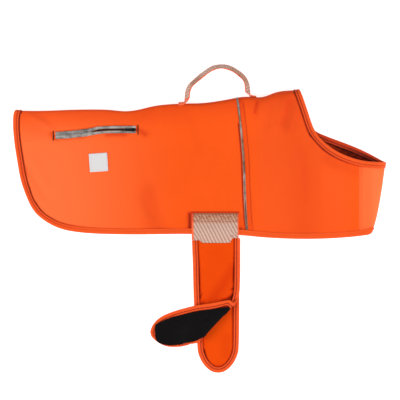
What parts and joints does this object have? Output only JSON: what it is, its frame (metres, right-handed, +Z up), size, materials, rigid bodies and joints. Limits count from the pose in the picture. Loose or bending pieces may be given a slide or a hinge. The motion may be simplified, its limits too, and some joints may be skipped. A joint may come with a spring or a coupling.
{
  "type": "dog jacket",
  "caption": "Soft shell jacket for a dog, laid flat on its side, with bound edges, carry handle, pocket zip, reflective seam and a wide belly strap with hook tape, folded back.",
  "frame": {"origin": "middle of the jacket's outline on the surface that it lies on", "axes": "+X from the tail to the chest, +Y from the belly to the spine, +Z up out of the surface"},
  "size_m": [0.6692, 0.5553, 0.0355],
  "materials": {
    "soft_shell": "bonded soft shell, matt, fine knit face",
    "strap_shell": "bonded soft shell, matt",
    "binding_tape": "folded elastic tape, sewn through",
    "reflective_tape": "grey retroreflective tape, unlit",
    "striped_webbing": "silver and orange diagonal stripes, orange selvedges",
    "hook_tape": "black hook tape",
    "loop_tape": "black loop tape",
    "woven_patch": "woven, bare",
    "zip_plastic": "moulded coil",
    "gunmetal": "die cast, dark plated"
  },
  "bodies": {
    "jacket": {"back_panel": "soft_shell", "front_panel": "soft_shell", "chest_panel": "soft_shell", "hem_binding": "binding_tape", "neck_binding": "binding_tape", "seam_piping": "reflective_tape", "zip_tape_upper": "reflective_tape", "zip_tape_lower": "reflective_tape", "zip_coil": "zip_plastic", "zip_slider": "gunmetal", "label": "woven_patch", "handle": "striped_webbing", "near_webbing": "striped_webbing", "far_webbing": "striped_webbing", "near_strap": "strap_shell", "near_strap_binding": "binding_tape", "near_hook_tape": "hook_tape", "far_strap": "strap_shell", "far_strap_binding": "binding_tape", "far_loop_tape": "loop_tape"},
    "pull_tab": {"zip_pull_tab": "gunmetal"}
  },
  "joints": [
    {"name": "pull_tab_swing", "type": "hinge", "parent": "jacket", "child": "pull_tab", "pos_m": [-0.1195, 0.15846, 0.01633], "axis": [0, 0.985, 0.1727], "range_deg": [0, 165]}
  ]
}
